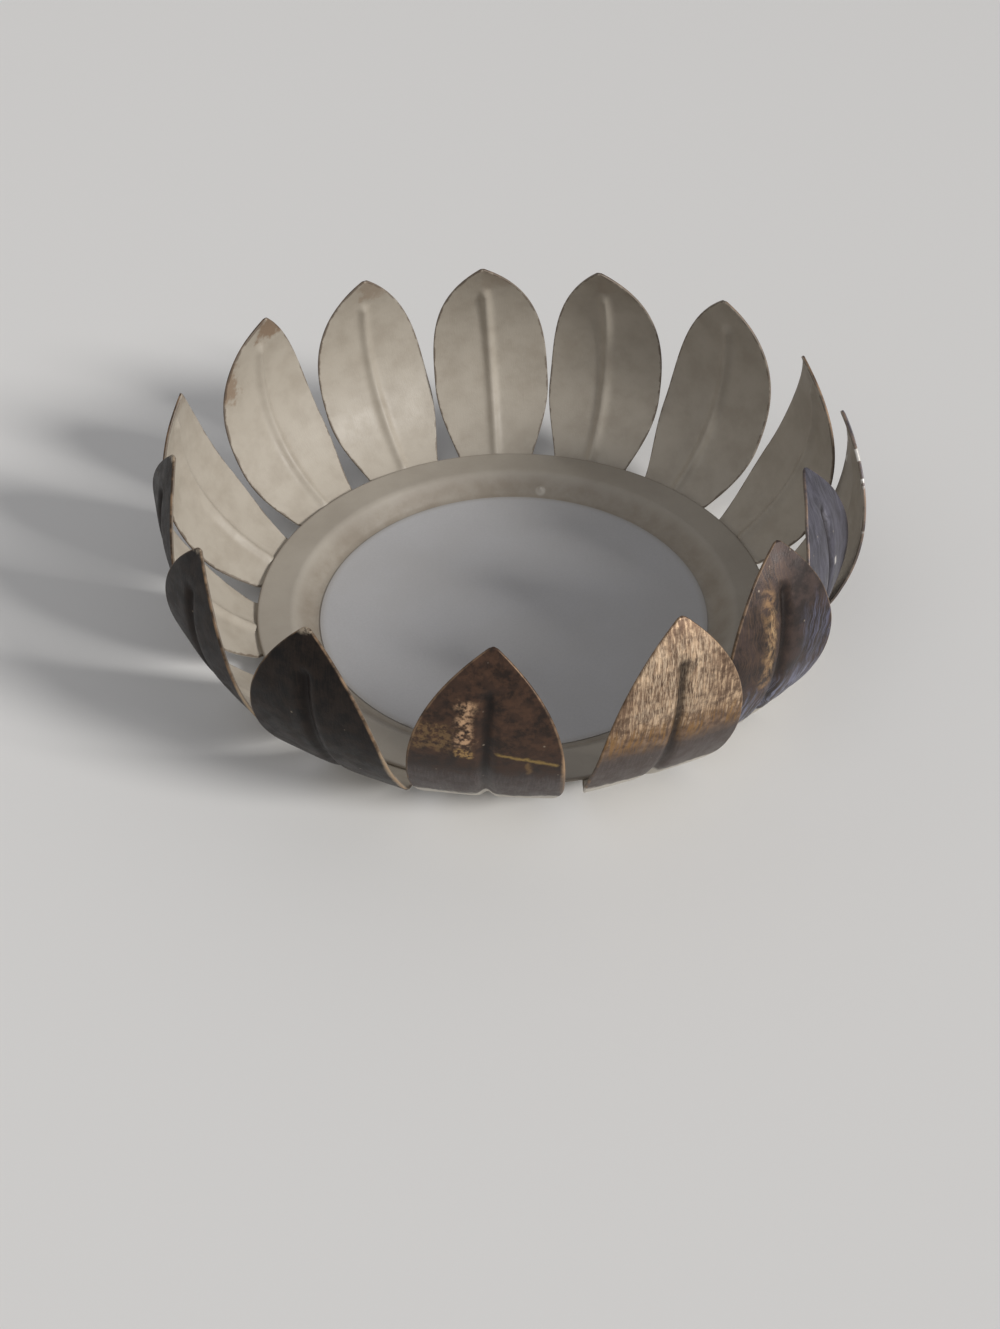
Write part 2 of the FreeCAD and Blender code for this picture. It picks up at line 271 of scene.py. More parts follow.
def make_specks():
    """Specks: a round spot in every cell of a net, kept where the cell's own number is high."""
    group, entry, leave = new_group(
        "specks",
        [("Place", "NodeSocketVector", None), ("Spacing", "NodeSocketFloat", 1.0),
         ("Size", "NodeSocketFloat", 0.2), ("Rarity", "NodeSocketFloat", 0.6)],
        [("Specks", "NodeSocketFloat")])
    cells = add_node(group, "ShaderNodeTexVoronoi", inputs={"Randomness": 1.0})
    wire(group, entry.outputs["Place"], cells.inputs["Vector"])
    wire(group, entry.outputs["Spacing"], cells.inputs["Scale"])
    near = work_out(group, "SUBTRACT", entry.outputs["Size"], cells.outputs["Distance"])
    spot = work_out(group, "MULTIPLY", near, SPECK_SHARPNESS, clamp=True)
    channels = add_node(group, "ShaderNodeSeparateColor")
    wire(group, cells.outputs["Color"], channels.inputs[0])
    kept = work_out(group, "GREATER_THAN", channels.outputs[0], entry.outputs["Rarity"])
    wire(group, product(group, spot, kept), leave.inputs["Specks"])
    return group


CLOUDS = make_clouds()
BRUSHING = make_brushing()
WINDOW = make_window()
SPECKS = make_specks()
print("groups", [group.name for group in bpy.data.node_groups])

# %% [markdown]
# ## Surfaces from arrays
# Each piece is a grid of points worked out by a formula, so one helper turns a grid into a mesh.
# A closed profile wraps across the grid, and its first and last rings are closed with a fan.


# %% Surfaces from arrays
def mesh_from_rings(name, rings):
    """A closed mesh from an array of rings (row, point on the ring, xyz), in millimetres.

    Point (r, k) joins (r, k + 1) and (r + 1, k); the last point of a ring joins its first. Each end
    is closed by a fan round one more point at the middle of its ring.
    """
    rows, around = rings.shape[:2]
    points = rings.reshape(-1, 3)
    row, point = np.meshgrid(np.arange(rows - 1), np.arange(around), indexing="ij")
    after = (point + 1) % around
    quads = np.stack([row * around + point, row * around + after,
                      (row + 1) * around + after, (row + 1) * around + point], axis=-1).reshape(-1, 4)
    faces = quads.tolist()
    here = np.arange(around)
    there = (here + 1) % around
    for ring, order in ((0, 1), (rows - 1, -1)):
        middle = len(points)
        points = np.vstack([points, rings[ring].mean(axis=0)])
        fan = np.stack([here + ring * around, np.full(around, middle), there + ring * around], axis=-1)
        faces += fan[:, ::order].tolist()
    mesh = bpy.data.meshes.new(name)
    mesh.from_pydata((points * MM).tolist(), [], faces)
    mesh.update()
    piece = bpy.data.objects.new(name, mesh)
    bpy.context.scene.collection.objects.link(piece)
    return piece


def smooth(piece):
    """Shades a piece as rounded instead of faceted."""
    piece.data.polygons.foreach_set("use_smooth", np.ones(len(piece.data.polygons), bool))
    piece.data.update()


def point_values(piece, name, values):
    """Stores one number per point under a name that materials can read."""
    layer = piece.data.attributes.new(name, "FLOAT", "POINT")
    layer.data.foreach_set("value", np.asarray(values, np.float32))


def signed_volume(piece):
    """Volume in cubic millimetres, positive when the faces look outwards."""
    mesh = piece.data
    mesh.calc_loop_triangles()
    corners = np.empty(len(mesh.loop_triangles) * 3, np.int32)
    mesh.loop_triangles.foreach_get("vertices", corners)
    co = np.empty(len(mesh.vertices) * 3, np.float32)
    mesh.vertices.foreach_get("co", co)
    a, b, c = (co.reshape(-1, 3).astype(float) / MM)[corners.reshape(-1, 3)].transpose(1, 0, 2)
    return float(np.einsum("ij,ij->i", a, np.cross(b, c)).sum() / 6)


def waves(x, y, seed, count=7, reach=2.5):
    """A gentle irregular surface: a sum of sine waves with seeded directions and phases, about +-1."""
    draw = np.random.default_rng(seed)
    total = np.zeros(np.broadcast(x, y).shape)
    for _ in range(count):
        across, along = draw.uniform(-reach, reach, 2)
        total = total + np.sin(across * x + along * y + draw.uniform(0, 2 * math.pi))
    return total / math.sqrt(count)


# %% [markdown]
# ## The leaves
# Each leaf was cut from sheet metal, pressed with a midrib and bent up from its tab by hand. Its
# centre line leaves the rim at a steep bend and follows one large arc, up and then inwards. A leaf
# could be a plane with modifiers, but a formula keeps it on its solid and gives a clean grid.

# %% Leaf sizes
LEAF_COUNT = 15
FIRST_LEAF_DEGREES = 94.0
RIM_RADIUS = 50.0
RIM_UNDERSIDE = 3.6
LEAF_SHEET = 0.6
LEAF_LENGTH = 46.7
LEAF_WIDTH = 25.0
ROOT_WIDTH = 16.4
TIP_WIDTH = 0.8
ROOT_RADIUS = 50.3
TAB_RADIUS = 45.3
TAB_WIDTH = 12.0
ROOT_BEND_DEGREES = 34.0
BELLY_RADIUS = 30.2
CUP_DEPTH = 0.7
CUP_POWER = 1.6
RIB_HEIGHT = 0.85
RIB_SPREAD = 1.02
FILLING_POWER = 1.1
WIDEST_SHARE = 0.36
ROOT_HEIGHT = RIM_UNDERSIDE - LEAF_SHEET / 2

# How each leaf was bent: turn round the cup, lean at the root, sway of the tip, twist, in degrees.
BENDS = (
    (0, 2, -3, 0), (0, 1, -3, 0), (0, -4, 0, -3), (0, 0, -3, 18), (0, 1, -7, 2),
    (-2, 11, -7, 6), (-5, 6, -6, 14), (-6, 0, -3, -1), (-3, -2, -2, -1), (-3, -6, 2, -2),
    (-2, -4, 0, 1), (0, -1, 2, -12), (0, -4, -4, -10), (0, -5, 2, -5), (0, -4, -1, -4),
)
# Two leaves at the front right, and the one behind them, were left rippled by the file or the roll.
RIPPLES = {4: 0.03, 5: 0.06, 6: 0.07}
DENT_HEIGHT = 0.11
FINE_DENT_HEIGHT = 0.03

ROWS_ALONG = 150
TAB_ROWS = 16
POINTS_ACROSS = 96
EDGE_POINTS = 7
print("flat length of a leaf", round(LEAF_LENGTH + ROOT_RADIUS - TAB_RADIUS, 1), "mm")

# %% [markdown]
# ## The blank of a leaf
# A leaf starts as a flat blank, cut to a pointed oval and pressed with a rib along its middle. The
# outline could be drawn as a curve, but short formulas give its width at any place, and the same
# width tells the paint how far it is from the edge.


# %% The leaf's blank
def half_width(t):
    """Half the blade's width. It fills out to the widest place as a power of a sine, then closes
    towards the tip as one minus a cube."""
    grown = np.sin(math.pi / 2 * np.clip(t / WIDEST_SHARE, 0, 1)) ** FILLING_POWER
    left = 1 - np.clip((t - WIDEST_SHARE) / (1 - WIDEST_SHARE), 0, 1) ** 3
    full = ROOT_WIDTH + (LEAF_WIDTH - ROOT_WIDTH) * grown
    return 0.5 * (TIP_WIDTH + (full - TIP_WIDTH) * left)


def pressed_rib(x, t):
    """Height of the midrib above the sheet, a rounded ridge that fades in at the root and out
    below the tip. It is the solid's rib drawn as the soft bell that a press leaves."""
    ridge = np.exp(-(x / RIB_SPREAD) ** 2)
    length = np.clip((t + 0.06) / 0.10, 0, 1) * np.clip((0.87 - t) / 0.055, 0, 1)
    return RIB_HEIGHT * ridge * length ** 2 * (3 - 2 * length)


def hand_work(x, t, index):
    """Small dents of the hand, in mm: slow waves over the blade that grow towards its edges, and
    on a few leaves ripples that run lengthwise. A soft limit keeps all of it on the inward side,
    so no dent pushes the outside past the solid."""
    half = half_width(t)
    edge = np.abs(x) / np.maximum(half, 0.5)
    grow = np.clip(t / 0.25, 0, 1)
    slow = waves(x * 0.16, t * 6.0, 10 + index, reach=1.3)
    fine = waves(x * 0.55, t * 9.0, 60 + index, reach=1.6)
    ripple = RIPPLES.get(index, 0.0) * waves(x * 1.6, t * 5.0, 100 + index, reach=1.0)
    dent = DENT_HEIGHT * slow * (0.3 + 0.7 * edge ** 2) + FINE_DENT_HEIGHT * fine + ripple + 0.06
    return grow * (0.02 + 0.5 * (dent + np.sqrt(dent ** 2 + 0.0016)))


print("half widths at root, widest and tip",
      [round(float(half_width(t)), 2) for t in (0, WIDEST_SHARE, 1)])

# %% [markdown]
# ## The leaf as a sheet
# The cross-section is one closed line: the inside face from edge to edge, a rounded edge, the
# outside face back again, and the other rounded edge. Carrying it along the arc gives the sheet
# its thickness everywhere, with no modifier and no open seam.


# %% The leaf as a sheet
def blade_point(x, n, t, lean, sway, twist):
    """Leaf coordinates to millimetres in the leaf's own frame (outwards, sideways, up).

    The centre line is an arc of the belly radius. x runs sideways and n along the arc's inward
    normal. The section is then turned by the twist about the upright line and by the sway about
    the outward line, both growing from nothing at the root.
    """
    start = math.radians(ROOT_BEND_DEGREES + lean)
    slope = start + t * LEAF_LENGTH / BELLY_RADIUS
    out = BELLY_RADIUS * (np.sin(slope) - math.sin(start)) - n * np.sin(slope)
    up = BELLY_RADIUS * (math.cos(start) - np.cos(slope)) + n * np.cos(slope)
    turn = -math.radians(twist) * np.clip(t, 0, 1)
    out, side = out * np.cos(turn) - x * np.sin(turn), out * np.sin(turn) + x * np.cos(turn)
    tip = math.radians(sway) * np.clip(t, 0, 1)
    side, up = side * np.cos(tip) - up * np.sin(tip), side * np.sin(tip) + up * np.cos(tip)
    return np.stack([ROOT_RADIUS + out, side, ROOT_HEIGHT + up], axis=-1)


def at_leaf(points, index):
    """Points of a leaf's own frame turned round the pan's axis to that leaf's place."""
    angle = math.radians(FIRST_LEAF_DEGREES - index * 360 / LEAF_COUNT - BENDS[index][0])
    cosine, sine = math.cos(angle), math.sin(angle)
    return points @ np.array([[cosine, -sine, 0], [sine, cosine, 0], [0, 0, 1]]).T


def make_leaf(index):
    """One leaf, from the end of its tab to its tip, as rings of one closed cross-section."""
    _, lean, sway, twist = BENDS[index]
    share = np.linspace(-1, 1, POINTS_ACROSS)
    share = 0.55 * share + 0.45 * np.sin(share * math.pi / 2)
    arc = np.linspace(-math.pi / 2, math.pi / 2, EDGE_POINTS + 2)[1:-1]
    across = np.concatenate([share, np.ones(EDGE_POINTS), share[::-1], -np.ones(EDGE_POINTS)])
    side = np.concatenate([np.ones(POINTS_ACROSS), -np.sin(arc), -np.ones(POINTS_ACROSS), np.sin(arc)])
    bulge = np.concatenate([np.zeros(POINTS_ACROSS), np.cos(arc), np.zeros(POINTS_ACROSS), -np.cos(arc)])

    # Rows of the blade, closer at the tip, whose last rows draw in to a rounded end.
    t = np.linspace(0, 1, ROWS_ALONG)
    t = (0.75 * t + 0.25 * np.sin(t * math.pi / 2))[:, None]
    round_off = LEAF_SHEET / 2
    tip_left = (1 - t) * LEAF_LENGTH
    close = np.sqrt(np.clip(1 - np.clip(1 - tip_left / round_off, 0, 1) ** 2, 0, 1))
    half = half_width(t)
    thick = LEAF_SHEET / 2 * np.maximum(close, 0.05)
    x = across * (half - thick) * np.where(tip_left < round_off, np.maximum(close, 0.2), 1) + bulge * thick
    lift = CUP_DEPTH * (half / (LEAF_WIDTH / 2)) ** 2 * np.clip(t / WIDEST_SHARE, 0, 1)
    cup = lift * np.clip(np.abs(x) / half, 0, 1) ** CUP_POWER
    n = cup + pressed_rib(x, t) + hand_work(x, t, index) + side * thick
    blade = blade_point(x, n, t, lean, sway, twist)

    # The tab: flat, widening from its end to the root, and sharing the blade's first ring.
    reach = np.linspace(TAB_RADIUS, ROOT_RADIUS, TAB_ROWS)[:-1, None]
    tab_half = np.interp(reach, (TAB_RADIUS, ROOT_RADIUS), (TAB_WIDTH / 2, ROOT_WIDTH / 2))
    tab_x = across * (tab_half - LEAF_SHEET / 2) + bulge * LEAF_SHEET / 2
    tab = np.stack([np.broadcast_to(reach, tab_x.shape), tab_x,
                    ROOT_HEIGHT + np.broadcast_to(side, tab_x.shape) * LEAF_SHEET / 2], axis=-1)

    rings = np.concatenate([tab, blade[1:]])
    piece = mesh_from_rings("leaf_%02d" % (index + 1), at_leaf(rings, index))
    piece.data.flip_normals()
    smooth(piece)

    # What the paint needs to know: place along and across in mm, distance to the edge, and the side.
    rows = len(rings)
    along = np.concatenate([reach - ROOT_RADIUS, t[1:] * LEAF_LENGTH])
    halves = np.concatenate([tab_half, half[1:]])
    place_x = np.concatenate([tab_x, x[1:]])
    shape = (rows, len(across))
    ends = [0, rows - 1]
    inside = np.broadcast_to(side * 0.5 + 0.5, shape)
    for name, grid in (("along", np.broadcast_to(along, shape)), ("across", place_x),
                       ("edge_distance", halves - np.abs(place_x)), ("inside", inside)):
        point_values(piece, name, np.concatenate([grid.ravel(), grid[ends].mean(axis=1)]))
    return piece


leaves = [make_leaf(index) for index in range(LEAF_COUNT)]
print("leaves", len(leaves), "faces each", len(leaves[0].data.polygons),
      "volume", round(signed_volume(leaves[0]), 1), "of 591.6 mm3")

# %% [markdown]
# ## The pan
# The pan was spun from one disc over a former, so its profile is carried once round the axis. Its
# two bends are arcs, and its edge is slightly rounded by the trimming tool. A spin tool would give
# the same form, but arrays also allow closer rows and angles round a drop of dried paint.

# %% Pan profile
PAN_SHEET = 0.8
WELL_DEPTH = 3.6
FLOOR_RADIUS = 39.0
SHOULDER_RADIUS = 43.0
PAN_BEND_RADIUS = 2.0
PAN_STEPS = 360
PAN_ROW_STEP = 0.9
POLE_RADIUS = 0.05
DROP_PLACE = (6.2, 39.4)
DROP_HEIGHT = 0.8
DROP_SPREAD = 0.6
DROP_ROW_STEP = 0.16
DROP_BAND = (38.0, 42.0)
DROP_HALF_ANGLE = 0.045
DROP_ANGLES = 25
SETTLING = 0.012


def rounded_line(corners, radii, steps=9):
    """Points along a line of straight runs whose corners are arcs of the given radii."""
    corners = [np.array(corner, float) for corner in corners]
    points = [corners[0]]
    for before, corner, after, radius in zip(corners, corners[1:], corners[2:], radii):
        a = (before - corner) / np.linalg.norm(before - corner)
        b = (after - corner) / np.linalg.norm(after - corner)
        opening = math.acos(float(np.clip(a @ b, -1, 1)))
        run = radius / math.tan(opening / 2)
        centre = corner + (a + b) / np.linalg.norm(a + b) * radius / math.sin(opening / 2)
        first, last = corner + a * run - centre, corner + b * run - centre
        total = math.acos(float(np.clip(first @ last / radius ** 2, -1, 1)))
        turn = np.linspace(0, 1, steps)[:, None]
        swept = (np.sin((1 - turn) * total) * first + np.sin(turn * total) * last) / math.sin(total)
        points += list(centre + swept)
    points.append(corners[-1])
    return np.array(points)


def spread_out(line, longest):
    """Adds points on long straight runs, so that no step is longer than the given length."""
    out = [line[:1]]
    for a, b in zip(line, line[1:]):
        count = max(1, math.ceil(np.linalg.norm(b - a) / longest))
        out.append(a + (b - a) * np.linspace(0, 1, count + 1)[1:, None])
    return np.vstack(out)


def make_pan():
    """The pan: a closed profile (radius, height) carried round the axis, with its poles closed. A
    drop of paint dried on the shoulder is a bell added to the top, where rows and angles are
    closer. The spun metal is not quite true, so the top waves by a few hundredths of a mm."""
    edge = PAN_SHEET * 0.45
    top = WELL_DEPTH + PAN_SHEET
    line = rounded_line(
        [(POLE_RADIUS, PAN_SHEET), (FLOOR_RADIUS, PAN_SHEET), (SHOULDER_RADIUS, top),
         (RIM_RADIUS, top), (RIM_RADIUS, WELL_DEPTH), (SHOULDER_RADIUS, WELL_DEPTH), (FLOOR_RADIUS, 0),
         (POLE_RADIUS, 0)],
        [PAN_BEND_RADIUS, PAN_BEND_RADIUS, edge, edge, PAN_BEND_RADIUS, PAN_BEND_RADIUS])
    line = spread_out(line, PAN_ROW_STEP)
    near = (line[:, 0] > DROP_BAND[0]) & (line[:, 0] < DROP_BAND[1]) & (line[:, 1] > PAN_SHEET * 0.9)
    first, last = np.flatnonzero(near)[[0, -1]]
    line = np.vstack([line[:first], spread_out(line[first:last + 1], DROP_ROW_STEP), line[last + 1:]])
    drop_angle = math.atan2(DROP_PLACE[1], DROP_PLACE[0])
    closer = drop_angle + np.linspace(-DROP_HALF_ANGLE, DROP_HALF_ANGLE, DROP_ANGLES)
    angle = np.linspace(0, 2 * math.pi, PAN_STEPS, endpoint=False)
    angle = np.unique(np.concatenate([angle, closer]))
    radius, height = line[:, :1], line[:, 1:]
    x, y = radius * np.cos(angle), radius * np.sin(angle)
    on_top = (np.arange(len(line)) < np.argmax(line[:, 0] > RIM_RADIUS - 0.5))[:, None]
    gap = np.hypot(x - DROP_PLACE[0], y - DROP_PLACE[1])
    drop = DROP_HEIGHT * np.exp(-(gap / DROP_SPREAD) ** 2)
    settle = SETTLING * (waves(x * 0.09, y * 0.09, 5) - 2.0) * np.clip((RIM_RADIUS - radius) / 3, 0, 1)
    z = height + on_top * (drop + np.minimum(settle, 0))
    piece = mesh_from_rings("pan_spun", np.stack([x, y, z], axis=-1)[::-1])
    smooth(piece)
    return piece


pan = make_pan()
print("pan faces", len(pan.data.polygons), "volume", round(signed_volume(pan), 1), "of 6569 mm3")

# %% [markdown]
# ## The label
# A round of plain paper is glued into the well. It could be a flat circle, but its cut edge casts
# a fine shadow, so a thin profile is carried round the axis, like the pan's.

# %% Label
LABEL_RADIUS = 38.1
LABEL_SHEET = 0.2
LABEL_STEPS = 240
LABEL_ROW_STEP = 0.8
CREASE_PLACE = (-19.5, -32.5, 0.0)
CREASE_TURN_DEGREES = -28
CREASE_REACH = (1.9, 0.35, 40.0)


def make_label():
    """A paper disc: rings from the centre out over the rounded cut edge and back underneath. Its
    top falls by a few hundredths of a millimetre in slow waves, as glued paper lies."""
    bevel = LABEL_SHEET * 0.4
    top = PAN_SHEET + LABEL_SHEET
    line = rounded_line([(POLE_RADIUS, top), (LABEL_RADIUS, top), (LABEL_RADIUS, PAN_SHEET),
                         (POLE_RADIUS, PAN_SHEET)], [bevel, bevel], steps=4)
    line = spread_out(line, LABEL_ROW_STEP)
    angle = np.linspace(0, 2 * math.pi, LABEL_STEPS, endpoint=False)
    radius, height = line[:, :1], line[:, 1:]
    x, y = radius * np.cos(angle), radius * np.sin(angle)
    on_top = (height > PAN_SHEET + LABEL_SHEET * 0.9).astype(float)
    settle = SETTLING * (waves(x * 0.14, y * 0.14, 77) - 1.6) * np.clip((LABEL_RADIUS - radius) / 2, 0, 1)
    z = height + on_top * np.minimum(settle, 0)
    piece = mesh_from_rings("label_paper_disc", np.stack([x, y, z], axis=-1)[::-1])
    smooth(piece)
    return piece


label = make_label()
print("label faces", len(label.data.polygons), "volume", round(signed_volume(label), 1))

# %% [markdown]
# ## The solder
# Under the rim a short fillet of solder fills the corner at the end of every tab. It could be
# sculpted, but its hollow triangle is simple enough to carry along the end of the tab.

# %% Solder
WELD_RADIUS = 0.8
WELD_LENGTH = 8.0
WELD_ROWS = 60
WELD_HOLLOW = 0.35


def make_solder(index):
    """A fillet of solder: a concave triangle that swells and narrows along the tab's end."""
    along = np.linspace(-WELD_LENGTH / 2, WELD_LENGTH / 2, WELD_ROWS)[:, None]
    swell = np.sqrt(np.clip(1 - (np.abs(along) / (WELD_LENGTH / 2)) ** 4, 0, 1))
    size = WELD_RADIUS * swell * (0.93 + 0.06 * np.sin(along * 2.3 + index))
    size = np.maximum(size, 0.02)
    arc = np.linspace(0, math.pi / 2, 10)
    face = 1 - 0.5 * np.sin(2 * arc) * WELD_HOLLOW
    out = np.concatenate([[0.0], face * np.cos(arc)])
    down = np.concatenate([[0.0], face * np.sin(arc)])
    rings = np.stack([TAB_RADIUS - size * out, np.broadcast_to(along, (WELD_ROWS, len(out))),
                      RIM_UNDERSIDE - size * down], axis=-1)
    piece = mesh_from_rings("solder_%02d" % (index + 1), at_leaf(rings, index)[::-1])
    smooth(piece)
    return piece


solder = [make_solder(index) for index in range(LEAF_COUNT)]
print("solder volume", round(sum(signed_volume(piece) for piece in solder), 1), "of 60.3 mm3")


# %% [markdown]
# ## The finishes
# Inside, the leaves and the pan carry a satin greige paint. Outside, each leaf is dark bronze with
# places of copper, gold or lilac, and no two are alike. Part of these places are wiped colour, and
# part are painted highlights, painted reflections and painted shade. One material per leaf lays
# the places over the ground in order, like glazes, and the stored side value picks inside or outside.

# %% Shared material parts
def new_material(name):
    """An empty material with one surface shader, and its tree and shader."""
    material = bpy.data.materials.new(name)
    material.use_nodes = True
    tree = material.node_tree
    tree.nodes.clear()
    shader = tree.nodes.new("ShaderNodeBsdfPrincipled")
    wire(tree, shader.outputs["BSDF"], tree.nodes.new("ShaderNodeOutputMaterial").inputs["Surface"])
    return material, tree, shader


def stored(tree, name):
    """The value stored on the mesh under that name."""
    node = tree.nodes.new("ShaderNodeAttribute")
    node.attribute_name = name
    return node.outputs["Fac"]


def object_place(tree):
    """Object coordinates in millimetres."""
    node = tree.nodes.new("ShaderNodeMapping")
    wire(tree, tree.nodes.new("ShaderNodeTexCoord").outputs["Object"], node.inputs["Vector"])
    node.inputs["Scale"].default_value = (1 / MM, 1 / MM, 1 / MM)
    return node.outputs["Vector"]


def bump(tree, height, distance, strength, normal=None):
    """Raises the surface where the height is full, by a distance in millimetres."""
    node = tree.nodes.new("ShaderNodeBump")
    node.inputs["Strength"].default_value = strength
    node.inputs["Distance"].default_value = distance * MM
    wire(tree, height, node.inputs["Height"])
    if normal is not None:
        wire(tree, normal, node.inputs["Normal"])
    return node.outputs["Normal"]


# %% [markdown]
# ## The look of each leaf
# The outsides differ from leaf to leaf: brown, nearly black, lilac, purple, gold or patched. Each
# could have its own network, but fifteen of those are hard to keep alike. So a look is a short
# list of numbers, leaves of one kind share it, and one function reads it.

# %% Leaf colours
CREAM = colour(175, 167, 154)
CREAM_WORN = colour(152, 142, 128)
EDGE_BROWN_WEAR_AND_SHADE = colour(84, 68, 54)
TIP_STAIN = colour(124, 96, 70)
OVERSPRAY_AND_SHEEN = colour(200, 193, 180)
GROOVE_DARK = colour(26, 19, 16)
SPECK_PALE = colour(180, 166, 146)
EDGE_WORN = colour(158, 130, 102)
GLINT_WHITE = colour(222, 219, 212)
WHOLE = (-20, 20, -8, 60)
# How far apart the leaves, and the glazes of one leaf, lie in the noise, so that none repeats.
LEAF_SLICE = 7.3
LAYER_SLICE = 3.7
print("paint on the screen", [round(v, 3) for v in CREAM[:3]], "as linear values")

# %% Leaf looks
# Each look: two ground tones, how wavy the strokes run, how metallic the outside is, and its
# glazes in order. A glaze is (colour, strength, texture, (left, right, foot, head), softness,
# raggedness), with places in millimetres across and along the leaf. The texture is 0 for an even
# glaze, above 0 the fineness of its strokes, and below 0 the size of the clouds that break it.
BROWN_LOOK = (
    ((44, 35, 30), (60, 47, 39)), 1.2, 0.5,
    [((122, 90, 66), 0.4, -0.35, (-11, 9, 14, 46), 4.0, 6.0),
     ((142, 112, 86), 0.25, 1.8, (-20, 20, 18, 60), 4.0, 4.0),
     ((76, 68, 65), 0.6, 0.0, (-20, 20, -8, 21), 6.0, 5.0),
     ((104, 94, 90), 0.25, 1.8, (-20, 20, -8, 24), 5.0, 4.0)])
# The near-black leaves: dark partly by their patina and partly by painted shade, as they face away from the
# light. The pale strip along the right edge is a painted highlight.
BLACK_LOOK = (
    ((18, 15, 14), (27, 22, 19)), 1.0, 0.2,
    [((44, 35, 30), 0.4, 1.4, (-20, 20, -8, 60), 3.0, 4.0),
     ((56, 44, 36), 0.4, -0.4, (-20, 20, -8, 60), 3.0, 4.0),
     ((186, 166, 140), 0.65, 0.0, (11.6, 16, 8, 44), 0.6, 1.1),
     ((196, 180, 158), 0.7, -1.0, (-20, 20, 45.4, 60), 0.8, 1.2)])
# The lilac leaves: their lilac grey is partly the metal's tint and partly a painted reflection.
LILAC_LOOK = (
    ((70, 68, 76), (86, 84, 94)), 4.0, 0.45,
    [((52, 49, 54), 0.45, 0.5, WHOLE, 2.0, 2.0),
     ((118, 117, 128), 0.35, 0.7, WHOLE, 2.0, 2.0),
     ((46, 42, 43), 0.7, 0.0, (8.5, 20, -8, 60), 3.0, 2.0),
     ((206, 202, 196), 0.9, 0.0, (1.6, 2.8, 27.6, 29.4), 0.4, 0.5),
     ((134, 128, 130), 0.5, 0.0, (-2.6, -0.8, 25.0, 27.6), 0.6, 0.8)])
# The purple leaf: the blue-lilac streaks over its foot and right side are partly a painted reflection, and
# the copper and gold strokes beside the midrib are painted highlights.
PURPLE_LOOK = (
    ((46, 37, 34), (68, 54, 49)), 5.0, 0.45,
    [((98, 98, 118), 0.75, 0.55, (2.0, 20, -8, 38), 6.0, 5.0),
     ((134, 137, 160), 0.75, 0.6, (-20, 20, -8, 24), 7.0, 5.0),
     ((104, 80, 60), 0.4, 1.2, (-12, 3, 16, 46), 4.0, 4.0),
     ((168, 132, 92), 0.6, -0.7, (-5.5, -1.2, 20, 41), 2.2, 3.0),
     ((214, 180, 134), 0.7, 0.9, (-4.4, -1.4, 24, 37), 1.8, 2.4),
     ((176, 146, 112), 0.6, 0.0, (-16, -11.4, 14, 43), 0.8, 1.2)])
# The gold leaf: its pale strokes over the upper half are painted highlights, where the upper face reflects
# the light.
GOLD_LOOK = (
    ((122, 97, 77), (150, 124, 100)), 1.2, 0.55,
    [((220, 190, 156), 0.8, 0.9, (-20, 20, 26, 60), 3.0, 3.0),
     ((74, 54, 42), 0.7, -0.8, (-20, 20, 20, 60), 3.0, 3.0),
     ((234, 210, 180), 0.6, 1.9, (-10, 7, 28, 45), 4.0, 4.0),
     ((148, 110, 60), 0.75, 0.8, (-20, 20, 21, 31), 3.5, 2.0),
     ((62, 50, 45), 0.6, -0.6, (-2.4, 4.8, 36.5, 41.0), 2.2, 3.5),
     ((74, 65, 62), 0.94, 0.0, (-20, 20, -8, 26.5), 5.0, 3.0),
     ((108, 99, 95), 0.35, 1.4, (-20, 20, -8, 26), 4.0, 2.0)])
# The patched leaf: the copper patch and pale flecks beside the midrib are painted highlights, and so is the
# bright strip along the right edge.
PATCHED_LOOK = (
    ((44, 33, 27), (66, 48, 38)), 1.2, 0.5,
    [((98, 70, 52), 0.45, -0.7, (-20, 20, 24, 60), 5.0, 4.0),
     ((214, 174, 136), 0.85, -1.1, (-5.2, -1.4, 28, 38.5), 1.6, 3.0),
     ((136, 108, 72), 0.65, -1.3, (-12.8, -4.2, 27, 34), 1.6, 5.0),
     ((190, 154, 98), 0.75, -1.6, (-5.0, -1.6, 26.0, 28.8), 0.8, 2.4),
     ((166, 138, 78), 0.8, 0.0, (1.4, 11.5, 27.8, 29.0), 0.7, 1.7),
     ((150, 118, 74), 0.5, 0.0, (6.0, 7.4, 22.5, 26.5), 0.8, 1.6),
     ((200, 166, 128), 0.7, 0.0, (11.5, 16, 14, 42), 0.6, 1.0),
     ((72, 63, 61), 0.8, 0.0, (-20, 20, -8, 24.5), 5.0, 3.0),
     ((106, 96, 92), 0.35, 1.5, (-20, 20, -8, 24), 4.0, 2.0)])
# The tilt of a glaze, by leaf and by its place in that leaf's list: one long scratch slants.
SLANTED = {(8, 4): 0.24}
LOOKS = (BROWN_LOOK, BROWN_LOOK, BROWN_LOOK, BROWN_LOOK, LILAC_LOOK, LILAC_LOOK, PURPLE_LOOK, GOLD_LOOK,
         PATCHED_LOOK, BLACK_LOOK, BLACK_LOOK, BLACK_LOOK, BROWN_LOOK, BROWN_LOOK, BROWN_LOOK)
# How strongly brown stains the inside of each leaf's tip, the leaf with a stained edge, and the leaf
# with painted glints.
STAINS = {0: 0.15, 1: 0.15, 12: 0.3, 13: 0.75, 14: 0.35}
STAINED_EDGE = 13
GLINTING_LEAF = 4
